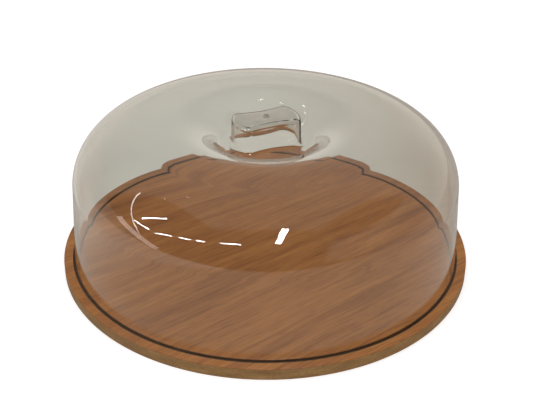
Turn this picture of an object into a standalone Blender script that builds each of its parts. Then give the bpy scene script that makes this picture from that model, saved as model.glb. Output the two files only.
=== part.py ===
"""Cake dome on a round veneered board: a clear moulded cover that stands in a groove and lifts off.

Run with: blender --background --python part.py
Metres, +Z up. The origin is the centre of the board's underside, and +X runs along the handle.
The board is a laminate: a fibreboard core between a bamboo face, which the groove cuts into a panel
and a rim, and a bamboo backing sheet. The dome and its hollow bow-tie handle are one moulding.
"""

import math

import bmesh
import bpy
from mathutils import Vector

# Board
BOARD_R = 0.150
BOARD_H = 0.0088
VENEER_H = 0.0006
GLUE_GAP = 0.0003
EDGE_BREAK = 0.0004
BOARD_STEPS = 96

# Groove that the dome stands in
GROOVE_IN_R = 0.1388
GROOVE_OUT_R = 0.1435
GROOVE_DEPTH = 0.0025
REST_GAP = 0.0003

# Dome: drafted wall, elliptical shoulder, slightly crowned top
WALL = 0.0024
RIM_R = 0.1422
RIM_Z = BOARD_H - GROOVE_DEPTH + REST_GAP
WALL_TOP_R = 0.1388
WALL_TOP_Z = 0.067
SHOULDER_W = 0.0490
SHOULDER_H = 0.0406
SHOULDER_SWEEP = math.radians(86.5)
CROWN_IN_R = 0.0685
CROWN_TOP_Z = 0.1085

# Bowl sunk into the top: its slope runs between two corners, each rounded by a fillet
LIP_R = 0.0500
LIP_FILLET = 0.044
FLOOR_R = 0.0338
FLOOR_FILLET = 0.006
FLOOR_IN_R = 0.0305
BOWL_FLOOR_Z = 0.0934

# Hollow bow-tie handle that stands up from the bowl's floor: round ends, waisted sides
HANDLE_TOP_Z = 0.1132
HANDLE_R = 0.0249
WAIST_HALF_W = 0.0127
WAIST_FLARE = 8.3
CORNER_R = 0.0050
HANDLE_DRAFT = 0.0003
FOOT_FILLET = 0.0030
TOP_FILLET = 0.0036
TOP_CROWN = 0.0003

# Steps round a quarter of the handle's outline, which set the dome's steps too
END_STEPS = 6
CORNER_STEPS = 5
SIDE_STEPS = 11

# Segments along each stretch of the dome's profile
WALL_SEGMENTS = 3
SHOULDER_SEGMENTS = 7
CROWN_SEGMENTS = 2
LIP_SEGMENTS = 6
FLOOR_SEGMENTS = 3
FILLET_SEGMENTS = 3

CLEAR_PLASTIC = ("clear_plastic", (0.86, 0.86, 0.83, 1.0), 0.05)
BAMBOO = ("bamboo_veneer", (0.38, 0.19, 0.08, 1.0), 0.45)
FIBREBOARD = ("fibreboard", (0.27, 0.17, 0.08, 1.0), 0.70)


def clear_scene():
    for obj in list(bpy.data.objects):
        bpy.data.objects.remove(obj)


def make_material(spec):
    name, color, roughness = spec
    material = bpy.data.materials.new(name)
    material.use_nodes = True
    shader = material.node_tree.nodes["Principled BSDF"]
    shader.inputs["Base Color"].default_value = color
    shader.inputs["Roughness"].default_value = roughness
    shader.inputs["Metallic"].default_value = 0.0
    return material


def add_object(name, mesh, material, collection, parent):
    obj = bpy.data.objects.new(name, mesh)
    obj.data.materials.append(material)
    obj.parent = parent
    collection.objects.link(obj)
    return obj


def turned(name, profile, closed, material, collection, parent):
    """A solid of revolution: profile is (radius, height) pairs that run down the outer side."""
    mesh = bpy.data.meshes.new(name)
    points = [(r, 0.0, z) for r, z in profile]
    edges = [(i, i + 1) for i in range(len(points) - 1)]
    if closed:
        edges.append((len(points) - 1, 0))
    mesh.from_pydata(points, edges, [])
    obj = add_object(name, mesh, material, collection, parent)
    screw = obj.modifiers.new("turn", "SCREW")
    screw.axis = "Z"
    screw.angle = math.tau
    screw.steps = BOARD_STEPS
    screw.render_steps = BOARD_STEPS
    screw.use_merge_vertices = True
    screw.merge_threshold = 0.00001
    screw.use_smooth_shade = False
    return obj


def disc_profile(radius, low, high, edge_break=0.0):
    """A solid disc, with its top outer edge broken by a small chamfer."""
    profile = [(0.0, high), (radius - edge_break, high)]
    if edge_break:
        profile.append((radius, high - edge_break))
    return profile + [(radius, low), (0.0, low)]


def core_profile(low, high):
    """The core: a disc with the lower part of the groove routed into its top face."""
    floor = BOARD_H - GROOVE_DEPTH
    return [
        (0.0, high),
        (GROOVE_IN_R, high),
        (GROOVE_IN_R, floor),
        (GROOVE_OUT_R, floor),
        (GROOVE_OUT_R, high),
        (BOARD_R, high),
        (BOARD_R, low + EDGE_BREAK),
        (BOARD_R - EDGE_BREAK, low),
        (0.0, low),
    ]


def rim_profile(low, high):
    """The ring of face veneer outside the groove, with its outer edge broken."""
    return [
        (GROOVE_OUT_R, high),
        (BOARD_R - EDGE_BREAK, high),
        (BOARD_R, high - EDGE_BREAK),
        (BOARD_R, low),
        (GROOVE_OUT_R, low),
    ]


def build_board(collection):
    parent = bpy.data.objects.new("board", None)
    collection.objects.link(parent)
    bamboo = make_material(BAMBOO)
    fibreboard = make_material(FIBREBOARD)
    core_low = VENEER_H + GLUE_GAP
    face_low = BOARD_H - VENEER_H
    core_high = face_low - GLUE_GAP

    backing = disc_profile(BOARD_R - EDGE_BREAK, 0.0, VENEER_H)
    panel = disc_profile(GROOVE_IN_R, face_low, BOARD_H)
    turned("veneer_backing", backing, False, bamboo, collection, parent)
    turned("board_core", core_profile(core_low, core_high), False, fibreboard, collection, parent)
    turned("veneer_panel", panel, False, bamboo, collection, parent)
    turned("veneer_rim", rim_profile(face_low, BOARD_H), True, bamboo, collection, parent)


def side_point(x):
    """A place on the handle's waisted long side and the outward normal there."""
    slope = 2 * WAIST_FLARE * x
    length = math.hypot(1.0, slope)
    return x, WAIST_HALF_W + WAIST_FLARE * x * x, -slope / length, 1.0 / length


def corner_arc():
    """Centre of the arc that rounds a corner of the handle, and the x at which it meets the long side."""
    low, high = 0.0, HANDLE_R
    for _ in range(50):
        middle = (low + high) / 2
        x, y, nx, ny = side_point(middle)
        centre = (x - nx * CORNER_R, y - ny * CORNER_R)
        if math.hypot(*centre) < HANDLE_R - CORNER_R:
            low = middle
        else:
            high = middle
    return centre[0], centre[1], low


def handle_plan():
    """The handle's outline as (x, y, normal x, normal y), all the way round from +X."""
    cx, cy, meet_x = corner_arc()
    end_angle = math.atan2(cy, cx)
    nx, ny = side_point(meet_x)[2:]
    side_angle = math.atan2(ny, nx)
    quarter = []
    for i in range(END_STEPS):
        angle = end_angle * i / END_STEPS
        cos, sin = math.cos(angle), math.sin(angle)
        quarter.append((HANDLE_R * cos, HANDLE_R * sin, cos, sin))
    for i in range(CORNER_STEPS):
        angle = end_angle + (side_angle - end_angle) * i / CORNER_STEPS
        cos, sin = math.cos(angle), math.sin(angle)
        quarter.append((cx + CORNER_R * cos, cy + CORNER_R * sin, cos, sin))
    for i in range(SIDE_STEPS + 1):
        quarter.append(side_point(meet_x * (1 - i / SIDE_STEPS)))
    half = quarter + [(-x, y, -nx, ny) for x, y, nx, ny in quarter[-2::-1]]
    return half + [(x, -y, nx, -ny) for x, y, nx, ny in half[-2:0:-1]]


def fillet(before, corner, after, radius, segments):
    """The points of an arc of this radius in place of a corner between two straight stretches."""
    before, corner, after = Vector(before), Vector(corner), Vector(after)
    to_before, to_after = (before - corner).normalized(), (after - corner).normalized()
    half = to_before.angle(to_after) / 2
    centre = corner + (to_before + to_after).normalized() * radius / math.sin(half)
    start = corner + to_before * radius / math.tan(half) - centre
    end = corner + to_after * radius / math.tan(half) - centre
    sweep = start.angle(end)
    points = []
    for i in range(segments + 1):
        t = i / segments
        point = centre + (start * math.sin((1 - t) * sweep) + end * math.sin(t * sweep)) / math.sin(sweep)
        points.append((point.x, point.y))
    return points


def turned_stations():
    """The round part of the dome's outer profile, from its rim up and inwards to the bowl's floor."""
    stations = []
    for i in range(WALL_SEGMENTS + 1):
        t = i / WALL_SEGMENTS
        stations.append((RIM_R + (WALL_TOP_R - RIM_R) * t, RIM_Z + (WALL_TOP_Z - RIM_Z) * t))
    centre_r = WALL_TOP_R - SHOULDER_W
    for i in range(1, SHOULDER_SEGMENTS + 1):
        angle = SHOULDER_SWEEP * i / SHOULDER_SEGMENTS
        stations.append(
            (centre_r + SHOULDER_W * math.cos(angle), WALL_TOP_Z + SHOULDER_H * math.sin(angle))
        )
    crown_out_r, crown_out_z = stations[-1]
    for i in range(1, CROWN_SEGMENTS + 1):
        t = i / CROWN_SEGMENTS
        rise = (CROWN_TOP_Z - crown_out_z) * t * (2 - t)
        stations.append((crown_out_r + (CROWN_IN_R - crown_out_r) * t, crown_out_z + rise))
    crown = (CROWN_IN_R, CROWN_TOP_Z)
    lip = (LIP_R, CROWN_TOP_Z)
    foot = (FLOOR_R, BOWL_FLOOR_Z)
    floor = (FLOOR_IN_R, BOWL_FLOOR_Z)
    stations += fillet(crown, lip, foot, LIP_FILLET, LIP_SEGMENTS)
    stations += fillet(lip, foot, floor, FLOOR_FILLET, FLOOR_SEGMENTS)
    stations.append(floor)
    return stations


def handle_stations():
    """The handle as (growth of its outline, height) pairs, from its foot's fillet to the top face."""
    stations = []
    for i in range(FILLET_SEGMENTS + 1):
        angle = math.pi / 2 * i / FILLET_SEGMENTS
        grow = FOOT_FILLET * (1 - math.sin(angle))
        stations.append((grow, BOWL_FLOOR_Z + FOOT_FILLET * (1 - math.cos(angle))))
    for i in range(FILLET_SEGMENTS + 1):
        angle = math.pi / 2 * i / FILLET_SEGMENTS
        grow = -HANDLE_DRAFT - TOP_FILLET * (1 - math.cos(angle))
        stations.append((grow, HANDLE_TOP_Z - TOP_FILLET * (1 - math.sin(angle))))
    return stations


def dome_rings():
    """Every ring of the dome's outer face, each a list of points, from the rim to the handle's top."""
    plan = handle_plan()
    angles = [math.atan2(y, x) for x, y, _, _ in plan]
    rings = [[(r * math.cos(a), r * math.sin(a), z) for a in angles] for r, z in turned_stations()]
    for grow, z in handle_stations():
        rings.append([(x + nx * grow, y + ny * grow, z) for x, y, nx, ny in plan])
    rings.append([(x * 0.5, y * 0.5, z + TOP_CROWN * 0.75) for x, y, z in rings[-1]])
    return rings


def build_dome(collection):
    """Lofts the outer face ring by ring, closes it on the handle's top and thickens it inwards."""
    parent = bpy.data.objects.new("dome", None)
    collection.objects.link(parent)
    loft = bmesh.new()
    rings = [[loft.verts.new(p) for p in ring] for ring in dome_rings()]
    count = len(rings[0])
    for lower, upper in zip(rings, rings[1:]):
        for i in range(count):
            j = (i + 1) % count
            loft.faces.new((lower[i], lower[j], upper[j], upper[i]))
    centre = loft.verts.new((0.0, 0.0, HANDLE_TOP_Z + TOP_CROWN))
    last = rings[-1]
    for i in range(count):
        loft.faces.new((last[i], last[(i + 1) % count], centre))
    mesh = bpy.data.meshes.new("dome_shell")
    loft.to_mesh(mesh)
    loft.free()
    shell = add_object("dome_shell", mesh, make_material(CLEAR_PLASTIC), collection, parent)
    mesh.shade_smooth()
    thicken = shell.modifiers.new("wall", "SOLIDIFY")
    thicken.thickness = WALL
    thicken.offset = -1.0
    thicken.use_even_offset = True


def main():
    clear_scene()
    collection = bpy.data.collections.new("cake_dome")
    bpy.context.scene.collection.children.link(collection)
    build_board(collection)
    build_dome(collection)


main()
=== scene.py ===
"""The looks of a cake dome on a round veneered board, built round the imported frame.

Every piece of the frame is stood for by a finer one: the board's laminate gets rounded edges and closed
glue lines, and the dome gets a smooth wall, a rounded rim, a gate mark and a crown that thins inwards.
All materials are procedural.
Metres, +Z up, +X along the dome's handle. The room (stage, lights, camera) is set square to the view,
which comes from the right of the handle's front, so its places are given as (across, ahead, up).
"""

import math

import bmesh
import bpy
from mathutils import Matrix, Vector


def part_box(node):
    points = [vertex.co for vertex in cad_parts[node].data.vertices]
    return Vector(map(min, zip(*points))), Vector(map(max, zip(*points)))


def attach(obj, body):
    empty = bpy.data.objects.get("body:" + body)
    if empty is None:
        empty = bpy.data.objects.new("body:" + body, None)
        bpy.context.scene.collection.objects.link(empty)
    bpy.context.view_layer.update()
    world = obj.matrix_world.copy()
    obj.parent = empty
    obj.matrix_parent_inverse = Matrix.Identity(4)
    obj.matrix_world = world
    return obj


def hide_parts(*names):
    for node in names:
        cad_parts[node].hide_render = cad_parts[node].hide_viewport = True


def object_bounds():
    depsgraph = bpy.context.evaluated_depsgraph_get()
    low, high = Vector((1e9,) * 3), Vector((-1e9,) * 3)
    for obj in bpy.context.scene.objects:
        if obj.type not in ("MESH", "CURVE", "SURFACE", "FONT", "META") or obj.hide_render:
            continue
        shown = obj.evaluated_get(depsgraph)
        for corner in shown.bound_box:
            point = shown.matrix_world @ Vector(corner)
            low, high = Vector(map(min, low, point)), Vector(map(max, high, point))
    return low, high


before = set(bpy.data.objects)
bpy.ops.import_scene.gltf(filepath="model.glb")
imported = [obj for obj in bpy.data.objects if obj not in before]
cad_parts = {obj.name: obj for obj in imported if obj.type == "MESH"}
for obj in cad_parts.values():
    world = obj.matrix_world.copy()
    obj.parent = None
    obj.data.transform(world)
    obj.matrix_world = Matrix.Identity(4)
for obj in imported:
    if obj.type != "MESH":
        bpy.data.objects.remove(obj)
cad_low, cad_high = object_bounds()

# Board, from the frame
BOARD_R = cad_high.x
BACKING_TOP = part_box("veneer_backing")[1].z
BACKING_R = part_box("veneer_backing")[1].x
FACE_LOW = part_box("veneer_panel")[0].z
FACE_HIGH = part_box("veneer_panel")[1].z
GROOVE_IN_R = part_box("veneer_panel")[1].x
GROOVE_W = 0.0047
GROOVE_OUT_R = GROOVE_IN_R + GROOVE_W
GROOVE_DEPTH = 0.0025
SEAM = 0.00003
BOARD_SEGMENTS = 320
DISC_STEPS = 6
ARC_STEPS = 12
SHARP_ANGLE = math.radians(40.0)
EDGE_R = 0.00035
GROOVE_EDGE_R = 0.0005

# Dome, from the frame where it gives the size
RIM_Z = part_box("dome_shell")[0].z
RIM_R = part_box("dome_shell")[1].x
DOME_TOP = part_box("dome_shell")[1].z
WALL = 0.0024
RIM_BEAD = 0.0009
WALL_DRAFT = 0.0034
WALL_TOP_R = RIM_R - WALL_DRAFT
WALL_TOP_Z = 0.067
SHOULDER_W = 0.0490
SHOULDER_H = 0.0406
SHOULDER_SWEEP = math.radians(86.5)
CROWN_TOP_Z = 0.1085
LIP_R = 0.0500
CROWN_IN_R = 0.0685
LIP_FILLET = 0.044
FLOOR_R = 0.0338
FLOOR_FILLET = 0.006
FLOOR_IN_R = 0.0305
BOWL_FLOOR_Z = 0.0934
TOP_CROWN = 0.0003
CROWN_OUT_R = WALL_TOP_R - SHOULDER_W
CROWN_THINNING = 0.0006
HANDLE_TOP_Z = DOME_TOP - TOP_CROWN
HANDLE_R = 0.0249
WAIST_HALF_W = 0.0127
WAIST_FLARE = 8.3
CORNER_R = 0.0050
HANDLE_DRAFT = 0.0003
FOOT_FILLET = 0.0030
TOP_FILLET = 0.0036
GATE_R = 0.0028
END_STEPS, CORNER_STEPS, SIDE_STEPS = 22, 24, 34
WALL_STEPS, SHOULDER_STEPS, CROWN_STEPS = 10, 36, 8
HANDLE_SIDE_STEPS = 6
HANDLE_FILLET_STEPS = 7
BEAD_STEPS = 8
TOP_RING_SHARES = (0.85, 0.7, 0.5, 0.3, 0.15)

# The view: it looks along +Y turned by VIEW_TURN about +Z, down on the object
VIEW_TURN = math.radians(-22.7)
EYE_DISTANCE = 0.7625
EYE_ELEVATION = math.radians(33.02)
VIEW_PITCH = math.radians(30.16)
VIEW_YAW = math.radians(-0.06)
VIEW_ROLL = math.radians(0.47)
LENS = 67.5
SENSOR = 36.0

GRAIN_TURN = math.radians(17.0)
NO_STRETCH = (1.0, 1.0, 1.0)


# ---------------------------------------------------------------- shapes


def round_corner(before, corner, after, radius):
    """The points of an arc of this radius in place of one corner of a profile."""
    to_before = (Vector(before) - Vector(corner)).normalized()
    to_after = (Vector(after) - Vector(corner)).normalized()
    half = to_before.angle(to_after) / 2
    centre = Vector(corner) + (to_before + to_after).normalized() * radius / math.sin(half)
    start = Vector(corner) + to_before * radius / math.tan(half) - centre
    end = Vector(corner) + to_after * radius / math.tan(half) - centre
    sweep = start.angle(end)
    points = []
    for i in range(ARC_STEPS + 1):
        t = i / ARC_STEPS
        w0 = math.sin((1 - t) * sweep) / math.sin(sweep)
        w1 = math.sin(t * sweep) / math.sin(sweep)
        points.append(tuple(centre + start * w0 + end * w1))
    return points


def rounded(profile):
    """A profile of (radius, height, corner radius) entries with its corners rounded."""
    points = []
    for i, (r, z, corner_radius) in enumerate(profile):
        if corner_radius:
            before, after = profile[i - 1][:2], profile[(i + 1) % len(profile)][:2]
            points += round_corner(before, (r, z), after, corner_radius)
        else:
            points.append((r, z))
    return points


def loft(name, rings, closed=False):
    """A mesh through rings of points that all have the same count. A ring of one point closes an end."""
    mesh = bmesh.new()
    made = [[mesh.verts.new(p) for p in ring] for ring in rings]
    pairs = list(zip(made, made[1:]))
    if closed:
        pairs.append((made[-1], made[0]))
    for lower, upper in pairs:
        count = max(len(lower), len(upper))
        for i in range(count):
            j = (i + 1) % count
            corners = [lower[i % len(lower)], lower[j % len(lower)]]
            corners += [upper[j % len(upper)], upper[i % len(upper)]]
            mesh.faces.new(list(dict.fromkeys(corners)))
    bmesh.ops.recalc_face_normals(mesh, faces=mesh.faces)
    data = bpy.data.meshes.new(name)
    mesh.to_mesh(data)
    mesh.free()
    data.shade_smooth()
    piece = bpy.data.objects.new(name, data)
    bpy.context.scene.collection.objects.link(piece)
    return piece


def turned(name, profile, closed):
    """A solid of revolution from (radius, height) pairs; a radius of 0 is a point on the axis."""
    rings = []
    for r, z in profile:
        count = BOARD_SEGMENTS if r > 0 else 1
        angles = [math.tau * i / count for i in range(count)]
        rings.append([(r * math.cos(a), r * math.sin(a), z) for a in angles])
    piece = loft(name, rings, closed)
    piece.data.set_sharp_from_angle(angle=SHARP_ANGLE)
    return piece


def disc_rings(radius, z):
    """Profile points from the axis out to a radius, so that a wide flat face has even faces."""
    return [(radius * i / DISC_STEPS, z) for i in range(DISC_STEPS)]


# ---------------------------------------------------------------- node helpers


class Nodes:
    """Short names for adding and joining the nodes of one tree."""

    def __init__(self, tree):
        self.tree = tree
        tree.nodes.clear()

    def add(self, kind, settings=None, inputs=None):
        node = self.tree.nodes.new(kind)
        for key, value in (settings or {}).items():
            setattr(node, key, value)
        for key, value in (inputs or {}).items():
            if isinstance(value, bpy.types.NodeSocket):
                self.tree.links.new(value, node.inputs[key])
            else:
                node.inputs[key].default_value = value
        return node

    def math(self, operation, a, b=0.0, c=0.0, clamp=False):
        settings = {"operation": operation, "use_clamp": clamp}
        return self.add("ShaderNodeMath", settings, {0: a, 1: b, 2: c}).outputs[0]

    def vector(self, operation, a, b):
        return self.add("ShaderNodeVectorMath", {"operation": operation}, {0: a, 1: b}).outputs[0]

    def mix(self, factor, a, b):
        return self.add("ShaderNodeMix", {"data_type": "RGBA"}, {0: factor, 6: a, 7: b}).outputs[2]

    def ramp(self, factor, stops):
        node = self.add("ShaderNodeValToRGB", None, {0: factor})
        elements = node.color_ramp.elements
        while len(elements) < len(stops):
            elements.new(0.5)
        for element, (place, color) in zip(elements, stops):
            element.position = place
            element.color = color
        return node.outputs[0]

    def step(self, value, low, high):
        """Rises smoothly from 0 where the value is low to 1 where it is high."""
        inputs = {"Value": value, "From Min": low, "From Max": high}
        return self.add("ShaderNodeMapRange", {"interpolation_type": "SMOOTHSTEP"}, inputs).outputs[0]

    def noise(self, vector, scale, detail=2.0, roughness=0.5):
        inputs = {"Vector": vector, "Scale": scale, "Detail": detail, "Roughness": roughness}
        return self.add("ShaderNodeTexNoise", None, inputs).outputs[0]

    def stretch(self, vector, scale, turn=0.0, shift=(0.0, 0.0, 0.0)):
        """The vector turned by -turn about Z, then shifted, then scaled."""
        inputs = {"Vector": vector, "Angle": -turn}
        turned_vector = self.add("ShaderNodeVectorRotate", {"rotation_type": "Z_AXIS"}, inputs).outputs[0]
        return self.vector("MULTIPLY", self.vector("ADD", turned_vector, shift), scale)

    def room_axes(self, vector):
        """Across, ahead and up in the room, of a vector in the frame's axes."""
        turned_vector = self.stretch(vector, NO_STRETCH, VIEW_TURN)
        parts = self.add("ShaderNodeSeparateXYZ", None, {0: turned_vector}).outputs
        return parts["X"], parts["Y"], parts["Z"]

    def radius(self, place):
        """How far a place is from the upright axis."""
        flat = self.vector("MULTIPLY", place, (1.0, 1.0, 0.0))
        return self.add("ShaderNodeVectorMath", {"operation": "LENGTH"}, {0: flat}).outputs["Value"]

    def bump(self, height, strength, distance):
        inputs = {"Strength": strength, "Distance": distance, "Height": height}
        return self.add("ShaderNodeBump", None, inputs).outputs[0]

    def lacquered(self, color, roughness, height, strength):
        """An opaque surface with a fine relief."""
        normal = self.bump(height, strength, RELIEF)
        inputs = {"Base Color": color, "Roughness": roughness, "Normal": normal}
        return self.add("ShaderNodeBsdfPrincipled", None, inputs).outputs[0]


def material(name):
    made = bpy.data.materials.new(name)
    made.use_nodes = True
    return made, Nodes(made.node_tree)


def surface(nodes, shader):
    nodes.add("ShaderNodeOutputMaterial", None, {"Surface": shader})


# ---------------------------------------------------------------- materials


# Layers of the wood's grain: cycles per metre along and across it, a shift, detail, roughness, share
GRAIN = {
    "bands": ((6.0, 75.0, 1.0), (0.0, 0.0, 0.0), 2.0, 0.55, 0.33),
    "streaks": ((18.0, 300.0, 1.0), (1.3, 0.7, 0.0), 3.0, 0.6, 0.27),
    "lines": ((24.0, 640.0, 1.0), (3.1, 2.2, 0.0), 3.0, 0.7, 0.32),
    "patches": ((12.0, 26.0, 1.0), (5.7, 0.1, 0.0), 2.0, 0.5, 0.08),
}
GRAIN_SWAY = 0.006
PORE_SCALE = (75.0, 1500.0, 1.0)
PORE_SHIFT = (0.4, 4.4, 0.0)
PORE_LEVEL = 0.58
PORE_EDGE = 4.0
PORE_DARKNESS = 0.80
BAMBOO = [
    (0.34, (0.170, 0.052, 0.008, 1.0)),
    (0.43, (0.285, 0.097, 0.017, 1.0)),
    (0.50, (0.370, 0.136, 0.026, 1.0)),
    (0.57, (0.438, 0.173, 0.036, 1.0)),
    (0.67, (0.535, 0.235, 0.062, 1.0)),
]
BAMBOO_PORE = (0.110, 0.036, 0.009, 1.0)
BAMBOO_RELIEF = 0.12
RELIEF = 0.0002


def veneer_material():
    """Satin-lacquered caramelised bamboo: soft streaks in bands, fine dark pores, all along one grain."""
    made, n = material("bamboo_veneer_look")
    place = n.add("ShaderNodeTexCoord").outputs["Object"]
    sway = n.noise(n.stretch(place, (9.0, 14.0, 1.0), GRAIN_TURN), 1.0, 2.0)
    sway = n.math("MULTIPLY_ADD", sway, GRAIN_SWAY, -GRAIN_SWAY / 2)
    offset = n.add("ShaderNodeCombineXYZ", None, {"Y": sway}).outputs[0]
    along = n.vector("ADD", n.stretch(place, NO_STRETCH, GRAIN_TURN), offset)

    layers, tone = {}, 0.0
    for name, (scale, shift, detail, roughness, share) in GRAIN.items():
        layers[name] = n.noise(n.stretch(along, scale, shift=shift), 1.0, detail, roughness)
        tone = n.math("MULTIPLY_ADD", layers[name], share, tone)
    pores = n.noise(n.stretch(along, PORE_SCALE, shift=PORE_SHIFT), 1.0, 1.0)
    pores = n.math("SUBTRACT", pores, PORE_LEVEL, clamp=True)
    pores = n.math("MULTIPLY", pores, PORE_EDGE, clamp=True)
    color = n.mix(n.math("MULTIPLY", pores, PORE_DARKNESS), n.ramp(tone, BAMBOO), BAMBOO_PORE)

    roughness = n.math("MULTIPLY_ADD", layers["streaks"], 0.16, 0.34)
    height = n.math("MULTIPLY_ADD", pores, -1.0, n.math("MULTIPLY", layers["lines"], 0.6))
    surface(n, n.lacquered(color, roughness, height, BAMBOO_RELIEF))
    return made


FIBREBOARD = [
    (0.34, (0.200, 0.095, 0.025, 1.0)),
    (0.50, (0.345, 0.180, 0.056, 1.0)),
    (0.66, (0.480, 0.275, 0.100, 1.0)),
]
# Painted shade: the dark colour, its strength and its outer radius for the fibreboard inside the groove,
# where shade falls in the recess
FIBREBOARD_GROOVE_SHADE = (0.030, 0.013, 0.005, 1.0)
FIBREBOARD_RELIEF = 0.25
GROOVE_SHADE_DARKNESS = 0.90
GROOVE_SHADE_OUT_R = GROOVE_OUT_R + 0.0005


def fibreboard_material():
    """Lacquered fibreboard: olive brown, flecked along its layers, with painted shade darkening it inside
    the groove.
    """
    made, n = material("fibreboard_look")
    place = n.add("ShaderNodeTexCoord").outputs["Object"]
    flecks = n.noise(n.stretch(place, (900.0, 900.0, 2600.0)), 1.0, 3.0, 0.6)
    clouds = n.noise(n.stretch(place, (60.0, 60.0, 260.0)), 1.0, 2.0, 0.5)
    tone = n.math("MULTIPLY_ADD", flecks, 0.6, n.math("MULTIPLY", clouds, 0.4))
    # Painted shade: inside the groove's outer radius the colour is pulled towards a dark tone, as shade in
    # the recess
    groove_shade = n.math("MULTIPLY", n.math("LESS_THAN", n.radius(place), GROOVE_SHADE_OUT_R), GROOVE_SHADE_DARKNESS)
    color = n.mix(groove_shade, n.ramp(tone, FIBREBOARD), FIBREBOARD_GROOVE_SHADE)
    roughness = n.math("MULTIPLY_ADD", clouds, 0.2, 0.5)
    surface(n, n.lacquered(color, roughness, flecks, FIBREBOARD_RELIEF))
    return made


# The moulding's gate mark: the height that it lies above, and its relief by the share of GATE_R
GATE_LOW_Z = HANDLE_TOP_Z - 0.0005
GATE_RELIEF = [(0.20, 0.0), (0.38, 1.0), (0.56, 0.1), (0.80, 0.9), (1.00, 0.0)]
PLASTIC_TINT = (0.90, 0.893, 0.868, 1.0)
PLASTIC_IOR = 1.57
RIPPLE_SCALE = 26.0
SMEAR_ROUGHNESS = 0.02


def plastic_material():
    """Clear moulded plastic with a faint smoky tint, slightly uneven as a moulding is."""
    made, n = material("clear_plastic_look")
    place = n.add("ShaderNodeTexCoord").outputs["Object"]
    ripple = n.bump(n.noise(place, RIPPLE_SCALE, 1.0), 0.05, 0.0004)
    height = n.add("ShaderNodeSeparateXYZ", None, {0: place}).outputs["Z"]
    relief = [(share, (value, value, value, 1.0)) for share, value in GATE_RELIEF]
    gate = n.ramp(n.math("MULTIPLY", n.radius(place), 1 / GATE_R), relief)
    gate = n.math("MULTIPLY", gate, n.math("GREATER_THAN", height, GATE_LOW_Z))
    inputs = {"Strength": 0.6, "Distance": 0.0003, "Height": gate, "Normal": ripple}
    normal = n.add("ShaderNodeBump", None, inputs).outputs[0]
    smears = n.noise(n.stretch(place, (60.0, 60.0, 25.0)), 1.0, 3.0)
    inputs = {
        "Base Color": PLASTIC_TINT,
        "Roughness": n.math("MULTIPLY", smears, SMEAR_ROUGHNESS),
        "IOR": PLASTIC_IOR,
        "Transmission Weight": 1.0,
        "Normal": normal,
    }
    surface(n, n.add("ShaderNodeBsdfPrincipled", None, inputs).outputs[0])
    return made


# ---------------------------------------------------------------- board


def finish_piece(piece, look, body, node):
    piece.data.materials.append(look)
    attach(piece, body)
    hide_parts(node)


def build_board():
    veneer = veneer_material()
    fibreboard = fibreboard_material()
    core_low, core_high = BACKING_TOP + SEAM, FACE_LOW - SEAM
    floor = FACE_HIGH - GROOVE_DEPTH

    backing = [(0.0, 0.0, 0.0), (BACKING_R, 0.0, EDGE_R / 2), (BACKING_R, BACKING_TOP, 0.0)]
    backing = disc_rings(BACKING_R, 0.0) + rounded(backing + [(0.0, BACKING_TOP, 0.0)])[1:]
    finish_piece(turned("back_sheet", backing, False), veneer, "board", "veneer_backing")

    panel = [(0.0, FACE_LOW, 0.0), (GROOVE_IN_R, FACE_LOW, 0.0), (GROOVE_IN_R, FACE_HIGH, EDGE_R)]
    panel = rounded(panel + [(0.0, FACE_HIGH, 0.0)])[:-1] + disc_rings(GROOVE_IN_R, FACE_HIGH)[::-1]
    finish_piece(turned("face_panel", panel, False), veneer, "board", "veneer_panel")

    ring = rounded(
        [
            (GROOVE_OUT_R, FACE_LOW, 0.0),
            (BOARD_R, FACE_LOW, 0.0),
            (BOARD_R, FACE_HIGH, EDGE_R),
            (GROOVE_OUT_R, FACE_HIGH, EDGE_R),
        ]
    )
    finish_piece(turned("face_ring", ring, True), veneer, "board", "veneer_rim")

    core = rounded(
        [
            (0.0, core_low, 0.0),
            (BOARD_R, core_low, EDGE_R),
            (BOARD_R, core_high, 0.0),
            (GROOVE_OUT_R, core_high, 0.0),
            (GROOVE_OUT_R, floor, GROOVE_EDGE_R),
            (GROOVE_IN_R, floor, GROOVE_EDGE_R),
            (GROOVE_IN_R, core_high, 0.0),
            (0.0, core_high, 0.0),
        ]
    )
    finish_piece(turned("core_disc", core, False), fibreboard, "board", "board_core")


# ---------------------------------------------------------------- dome


def side_point(x):
    """A place on the handle's waisted long side, and the outward normal there."""
    slope = 2 * WAIST_FLARE * x
    length = math.hypot(1.0, slope)
    return x, WAIST_HALF_W + WAIST_FLARE * x * x, -slope / length, 1.0 / length


def corner_centre():
    """Centre of the arc that rounds a corner, and where it meets the long side."""
    low, high = 0.0, HANDLE_R
    for _ in range(50):
        middle = (low + high) / 2
        x, y, nx, ny = side_point(middle)
        cx, cy = x - nx * CORNER_R, y - ny * CORNER_R
        if math.hypot(cx, cy) < HANDLE_R - CORNER_R:
            low = middle
        else:
            high = middle
    return cx, cy, low


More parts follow.
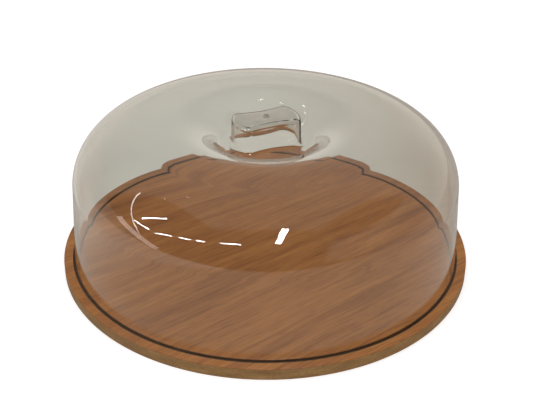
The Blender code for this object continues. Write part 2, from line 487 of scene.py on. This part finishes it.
def handle_plan():
    """The handle's outline as (x, y, normal x, normal y): ends on a circle about the axis, waisted sides."""
    cx, cy, meet_x = corner_centre()
    end_angle = math.atan2(cy, cx)
    nx, ny = side_point(meet_x)[2:]
    side_angle = math.atan2(ny, nx)
    quarter = []
    for i in range(END_STEPS):
        angle = end_angle * i / END_STEPS
        cos, sin = math.cos(angle), math.sin(angle)
        quarter.append((HANDLE_R * cos, HANDLE_R * sin, cos, sin))
    for i in range(CORNER_STEPS):
        angle = end_angle + (side_angle - end_angle) * i / CORNER_STEPS
        cos, sin = math.cos(angle), math.sin(angle)
        quarter.append((cx + CORNER_R * cos, cy + CORNER_R * sin, cos, sin))
    for i in range(SIDE_STEPS + 1):
        quarter.append(side_point(meet_x * (1 - i / SIDE_STEPS)))
    left = [(-x, y, -nx, ny) for x, y, nx, ny in quarter[-2::-1]]
    half = quarter + left
    return half + [(x, -y, nx, -ny) for x, y, nx, ny in half[-2:0:-1]]


def wall_point(t):
    low = RIM_Z + RIM_BEAD
    return RIM_R + (WALL_TOP_R - RIM_R) * t, low + (WALL_TOP_Z - low) * t


def shoulder_point(t):
    angle = SHOULDER_SWEEP * t
    return CROWN_OUT_R + SHOULDER_W * math.cos(angle), WALL_TOP_Z + SHOULDER_H * math.sin(angle)


def crown_point(t):
    """From the shoulder to the bowl: the slope falls evenly to nothing."""
    r, z = shoulder_point(1.0)
    share = t * (2 - t)
    return r + (CROWN_IN_R - r) * t, z + (CROWN_TOP_Z - z) * share


def bowl_profile():
    """From the crown down a slope to the bowl's floor, with both corners of the slope rounded."""
    corners = [
        (CROWN_IN_R, CROWN_TOP_Z, 0),
        (LIP_R, CROWN_TOP_Z, LIP_FILLET),
        (FLOOR_R, BOWL_FLOOR_Z, FLOOR_FILLET),
        (FLOOR_IN_R, BOWL_FLOOR_Z, 0),
    ]
    return rounded(corners)[1:]


def turned_outline():
    """The round part of the dome's outer profile, from its rim up and in to the bowl's floor."""
    stretches = [(wall_point, WALL_STEPS), (shoulder_point, SHOULDER_STEPS), (crown_point, CROWN_STEPS)]
    points = [wall_point(0.0)]
    for point_at, steps in stretches:
        points += [point_at(i / steps) for i in range(1, steps + 1)]
    return points + bowl_profile()


def handle_outline():
    """The handle as (growth, height) pairs: foot fillet, drafted side, top fillet."""
    stations = []
    quarter = [math.pi / 2 * i / HANDLE_FILLET_STEPS for i in range(HANDLE_FILLET_STEPS + 1)]
    for angle in quarter:
        grow = FOOT_FILLET * (1 - math.sin(angle))
        stations.append((grow, BOWL_FLOOR_Z + FOOT_FILLET * (1 - math.cos(angle))))
    foot = stations[-1]
    shoulder = (-HANDLE_DRAFT, HANDLE_TOP_Z - TOP_FILLET)
    for i in range(1, HANDLE_SIDE_STEPS):
        stations.append(tuple(a + (b - a) * i / HANDLE_SIDE_STEPS for a, b in zip(foot, shoulder)))
    for angle in quarter:
        grow = -HANDLE_DRAFT - TOP_FILLET * (1 - math.cos(angle))
        stations.append((grow, HANDLE_TOP_Z - TOP_FILLET * (1 - math.sin(angle))))
    return stations


def dome_rings():
    """Rings of the dome's outer face, from just above the rim to a point on the handle's top."""
    plan = handle_plan()
    angles = [math.atan2(y, x) for x, y, _, _ in plan]
    rings = [[(r * math.cos(a), r * math.sin(a), z) for a in angles] for r, z in turned_outline()]
    rings += [[(x + nx * grow, y + ny * grow, z) for x, y, nx, ny in plan] for grow, z in handle_outline()]
    edge = rings[-1]
    for share in TOP_RING_SHARES:
        rings.append([(x * share, y * share, z + TOP_CROWN * (1 - share**2)) for x, y, z in edge])
    placed = [[Vector(p) for p in ring] for ring in rings]
    return placed + [[Vector((0.0, 0.0, HANDLE_TOP_Z + TOP_CROWN))]]


def wall_at(radius, z):
    """The wall is even up to the crown, where it thins towards the bowl, which keeps the thinner wall."""
    if z < WALL_TOP_Z:
        return WALL
    span = (CROWN_OUT_R - radius) / (CROWN_OUT_R - LIP_R)
    return WALL - CROWN_THINNING * min(max(span, 0.0), 1.0)


def ring_normals(rings):
    """The outward normal at each point of the rings, from their smooth surface."""
    sheet = loft("sheet", rings)
    normals = [v.normal.copy() for v in sheet.data.vertices]
    if normals[0].dot(rings[0][0]) < 0:
        normals = [-normal for normal in normals]
    bpy.data.objects.remove(sheet)
    split, start = [], 0
    for ring in rings:
        split.append(normals[start : start + len(ring)])
        start += len(ring)
    return split


def build_dome():
    """The outer face, the same face set in by the wall, and a rounded rim that joins the two."""
    outer = dome_rings()
    normals = ring_normals(outer)
    inner = []
    for ring, ring_normal in zip(outer, normals):
        wall = wall_at(ring[0].xy.length, ring[0].z)
        inner.append([p - n * wall for p, n in zip(ring, ring_normal)])
    bead = []
    for i in range(1, BEAD_STEPS):
        angle = math.pi * i / BEAD_STEPS
        ring = []
        for p, q in zip(inner[0], outer[0]):
            middle, half = (p + q) / 2, (q - p) / 2
            drop = Vector((0.0, 0.0, -RIM_BEAD * math.sin(angle)))
            ring.append(middle - half * math.cos(angle) + drop)
        bead.append(ring)
    dome = loft("dome_moulding", inner[::-1] + bead + outer)
    finish_piece(dome, plastic_material(), "dome", "dome_shell")
    dome.visible_shadow = False
    dome.visible_diffuse = False


# ---------------------------------------------------------------- room


def room(across, ahead, up):
    """A place in the room, which is square to the view, in the frame's own axes."""
    return Matrix.Rotation(VIEW_TURN, 3, "Z") @ Vector((across, ahead, up))


def build_camera():
    camera = bpy.data.objects.new("camera", bpy.data.cameras.new("camera"))
    bpy.context.scene.collection.objects.link(camera)
    camera.location = room(
        0.0, -EYE_DISTANCE * math.cos(EYE_ELEVATION), EYE_DISTANCE * math.sin(EYE_ELEVATION)
    )
    heading = Matrix.Rotation(VIEW_TURN + VIEW_YAW, 3, "Z")
    tilt = Matrix.Rotation(math.pi / 2 - VIEW_PITCH, 3, "X")
    roll = Matrix.Rotation(VIEW_ROLL, 3, "Z")
    camera.rotation_euler = (heading @ tilt @ roll).to_euler()
    camera.data.sensor_width = SENSOR
    camera.data.lens = LENS
    camera.data.clip_start = 0.01
    bpy.context.scene.camera = camera


# The surroundings, as seen straight on, through the dome, and mirrored in it
WHITE = (1.0, 1.0, 1.0, 1.0)
BACKDROP = (0.665, 0.675, 0.622, 1.0)
BACKDROP_RIGHT = (0.55, 0.52, 0.45, 1.0)
MIRRORED_AHEAD = (0.74, 0.69, 0.62, 1.0)
MIRRORED_PALE = (0.46, 0.41, 0.36, 1.0)
MIRRORED_DIM = (0.27, 0.265, 0.25, 1.0)
MIRRORED_DARK = (0.015, 0.014, 0.012, 1.0)
SCATTERED = (0.44, 0.40, 0.36, 1.0)
FILL = (0.50, 0.49, 0.47, 1.0)

# Where the mirrored surroundings change, as (low, high) of parts of a ray's direction in the room's axes
AHEAD_DROP = 0.62
AHEAD_TO_DIM = (0.30, 0.52)
SIDES = (0.36, 0.50)
SIDES_UP = (0.10, 0.35)
SIDES_FORWARD = 0.65
BEHIND = (0.28, 0.42)
DOORWAY_LEFT = (0.50, 0.56)
DOORWAY_TOP = (0.64, 0.56)

# The floor: its half width, how far it lies under the board, and where its colours change
FLOOR_HALF = 6.0
FLOOR_DROP = 0.0002
FLOOR_GLOW = 0.72
FLOOR_NEAR = 0.56
FLOOR_NEAR_SPREAD = 0.4
FLOOR_NEAR_EDGE = (-0.05, 0.05)
FLOOR_LEFT = (0.16, 0.24)
FLOOR_RIGHT = (-0.03, 0.22)


def seen_as(n, mirrored, backdrop=BACKDROP):
    """One colour for the surroundings, by how a ray reached them: mirrored, through plastic or as fill."""
    path = n.add("ShaderNodeLightPath").outputs
    mirrored = n.mix(n.math("GREATER_THAN", path["Glossy Depth"], 1.5), mirrored, SCATTERED)
    through = n.mix(n.math("GREATER_THAN", path["Glossy Depth"], 0.5), backdrop, mirrored)
    lit = n.mix(n.math("GREATER_THAN", path["Diffuse Depth"], 0.5), through, FILL)
    return n.mix(path["Is Camera Ray"], lit, WHITE)


def build_world():
    """Pale low down and ahead, dim overhead, dark behind the viewer but for a doorway, as a shop is."""
    world = bpy.data.worlds.new("room")
    bpy.context.scene.world = world
    world.use_nodes = True
    n = Nodes(world.node_tree)
    ray = n.add("ShaderNodeTexCoord").outputs["Generated"]
    across, ahead, up = n.room_axes(ray)
    height = n.math("MULTIPLY_ADD", ahead, -AHEAD_DROP, up)
    share = n.math("MULTIPLY_ADD", height, 0.5, 0.5)
    mirrored = n.ramp(share, list(zip(AHEAD_TO_DIM, (MIRRORED_AHEAD, MIRRORED_DIM))))
    aside = n.math("MULTIPLY", n.step(n.math("ABSOLUTE", across), *SIDES), n.step(up, *SIDES_UP))
    behind = n.math("SUBTRACT", n.math("MULTIPLY", aside, SIDES_FORWARD), ahead)
    doorway = n.math("MULTIPLY", n.step(across, *DOORWAY_LEFT), n.step(up, *DOORWAY_TOP))
    dark = n.math("MULTIPLY", n.step(behind, *BEHIND), n.math("SUBTRACT", 1.0, doorway))
    mirrored = n.mix(dark, mirrored, MIRRORED_DARK)
    color = seen_as(n, mirrored)
    light = n.add("ShaderNodeBackground", None, {"Color": color, "Strength": 1.0})
    n.add("ShaderNodeOutputWorld", None, {"Surface": light.outputs[0]})


def build_floor():
    """The floor: white with a faint contact shadow straight on, mirrored pale but for its near part."""
    signs = ((-1, -1), (1, -1), (1, 1), (-1, 1))
    corners = [room(x * FLOOR_HALF, y * FLOOR_HALF, 0.0) for x, y in signs]
    data = bpy.data.meshes.new("floor")
    data.from_pydata([tuple(p) for p in corners], [], [(0, 1, 2, 3)])
    floor = bpy.data.objects.new("floor", data)
    bpy.context.scene.collection.objects.link(floor)
    floor.location.z = -FLOOR_DROP
    made, n = material("floor_look")
    place = n.add("ShaderNodeTexCoord").outputs["Object"]
    across, ahead, _ = n.room_axes(place)
    spread = n.math("MULTIPLY", n.math("ABSOLUTE", across), FLOOR_NEAR_SPREAD)
    beyond = n.step(n.math("ADD", n.math("ADD", ahead, spread), FLOOR_NEAR), *FLOOR_NEAR_EDGE)
    sideways = n.math("DIVIDE", across, n.math("ADD", ahead, EYE_DISTANCE * math.cos(EYE_ELEVATION)))
    backdrop = n.mix(n.step(sideways, *FLOOR_RIGHT), BACKDROP, BACKDROP_RIGHT)
    left = n.step(n.math("MULTIPLY", across, -1.0), *FLOOR_LEFT)
    pale = n.mix(left, MIRRORED_PALE, MIRRORED_AHEAD)
    color = seen_as(n, n.mix(beyond, MIRRORED_DARK, pale), backdrop)
    path = n.add("ShaderNodeLightPath").outputs
    glow = n.add("ShaderNodeEmission", None, {"Color": color})
    base = n.add("ShaderNodeEmission", None, {"Color": WHITE, "Strength": FLOOR_GLOW})
    matt = n.add("ShaderNodeBsdfDiffuse", None, {"Color": (0.5, 0.5, 0.5, 1.0)})
    shown = n.add("ShaderNodeAddShader", None, {0: base.outputs[0], 1: matt.outputs[0]})
    both = n.add(
        "ShaderNodeMixShader",
        None,
        {0: path["Is Camera Ray"], 1: glow.outputs[0], 2: shown.outputs[0]},
    )
    surface(n, both.outputs[0])
    data.materials.append(made)


def area_light(name, place, target, size, radiance, color):
    """A rectangular lamp of this radiance that faces a target."""
    data = bpy.data.lights.new(name, "AREA")
    data.shape = "RECTANGLE"
    data.size, data.size_y = size
    data.energy = radiance * math.pi * size[0] * size[1]
    data.color = color
    lamp = bpy.data.objects.new(name, data)
    bpy.context.scene.collection.objects.link(lamp)
    lamp.location = place
    lamp.rotation_euler = (Vector(target) - Vector(place)).to_track_quat("-Z", "Y").to_euler()
    lamp.visible_camera = False
    return lamp


# What the dome mirrors: strip lamps by their two ends in the room's axes. Tubes run in rows under the
# ceiling, with a panel beside them and a cove beyond; a low window on the left leaves a streak.
CEILING = 2.0
TUBE_W = 0.065
TUBE_RADIANCE = 60.0
GLINT_RADIANCE = 60.0
COOL = (1.0, 1.0, 1.0)
PINKISH = (1.0, 0.84, 0.78)
WIDE = math.pi
NARROW = math.radians(4.2)
TUBES = [
    ((-2.72, -0.48), (-1.84, -0.44)),
    ((-4.21, -0.62), (-4.03, -1.50)),
    ((-3.70, -1.86), (-2.93, -1.88)),
    ((-2.46, -1.96), (-2.09, -2.02)),
    ((-1.88, -2.07), (-1.58, -2.10)),
    ((-1.10, -2.14), (-0.60, -2.15)),
]
PANEL = ((0.29, -1.80, CEILING), (0.29, -0.78, CEILING), 0.12, TUBE_RADIANCE, COOL, WIDE)
COVE = ((-1.63, 0.83, CEILING), (-4.89, -0.82, CEILING), 0.05, 9.0, COOL, WIDE)
LOW_WINDOW = ((-2.51, -0.04, 0.75), (-2.20, -1.38, 0.10), 0.26, 3.2, PINKISH, WIDE)
# Narrow beams on the bowl: (start, end, width, share of GLINT_RADIANCE)
GLINTS = [
    ((0.04, 0.54), (0.20, 0.50), 0.04, 1.0),
    ((-0.08, 0.32), (-0.58, 0.43), 0.03, 0.7),
    ((-0.62, 0.55), (-0.86, 1.16), 0.04, 0.7),
    ((-1.10, 0.40), (-1.24, 0.95), 0.03, 1.0),
]
DOME_TOP_CENTRE = Vector((0.0, 0.0, 0.104))


def strip(name, start, end, width, radiance, color, spread):
    """A strip lamp between two places of the room, turned to the dome, that is only seen mirrored."""
    a, b = room(*start), room(*end)
    size = ((b - a).length, width)
    lamp = area_light(name, (a + b) / 2, DOME_TOP_CENTRE, size, radiance, color)
    back = ((a + b) / 2 - DOME_TOP_CENTRE).normalized()
    along = b - a
    along = (along - back * along.dot(back)).normalized()
    lamp.rotation_euler = Matrix((along, back.cross(along), back)).transposed().to_euler()
    # A narrower beam keeps its power, so it gets less to keep its radiance
    lamp.data.spread = spread
    lamp.data.energy *= 1 - spread / 2 / math.tan(spread / 2)
    lamp.visible_diffuse = False
    lamp.visible_transmission = False


def build_lights():
    """Two soft lamps that light the board, and the strips that the dome mirrors."""
    key = area_light("key", room(-0.5, -0.3, 1.6), (0.0, 0.0, 0.0), (1.6, 1.6), 1.0, COOL)
    fill = area_light("fill", room(0.9, -1.2, 1.1), (0.0, 0.0, 0.0), (1.2, 1.2), 0.6, COOL)
    for lamp in (key, fill):
        lamp.visible_glossy = False
        lamp.visible_transmission = False
    strips = [(a + (CEILING,), b + (CEILING,), TUBE_W, TUBE_RADIANCE, COOL, WIDE) for a, b in TUBES]
    strips += [PANEL, COVE, LOW_WINDOW]
    for a, b, width, share in GLINTS:
        strips.append((a + (CEILING,), b + (CEILING,), width, share * GLINT_RADIANCE, COOL, NARROW))
    for i, entry in enumerate(strips):
        strip(f"strip_{i}", *entry)


# ---------------------------------------------------------------- build

build_board()
build_dome()
build_world()
build_floor()
build_lights()
build_camera()
bpy.context.scene.view_settings.view_transform = "Standard"
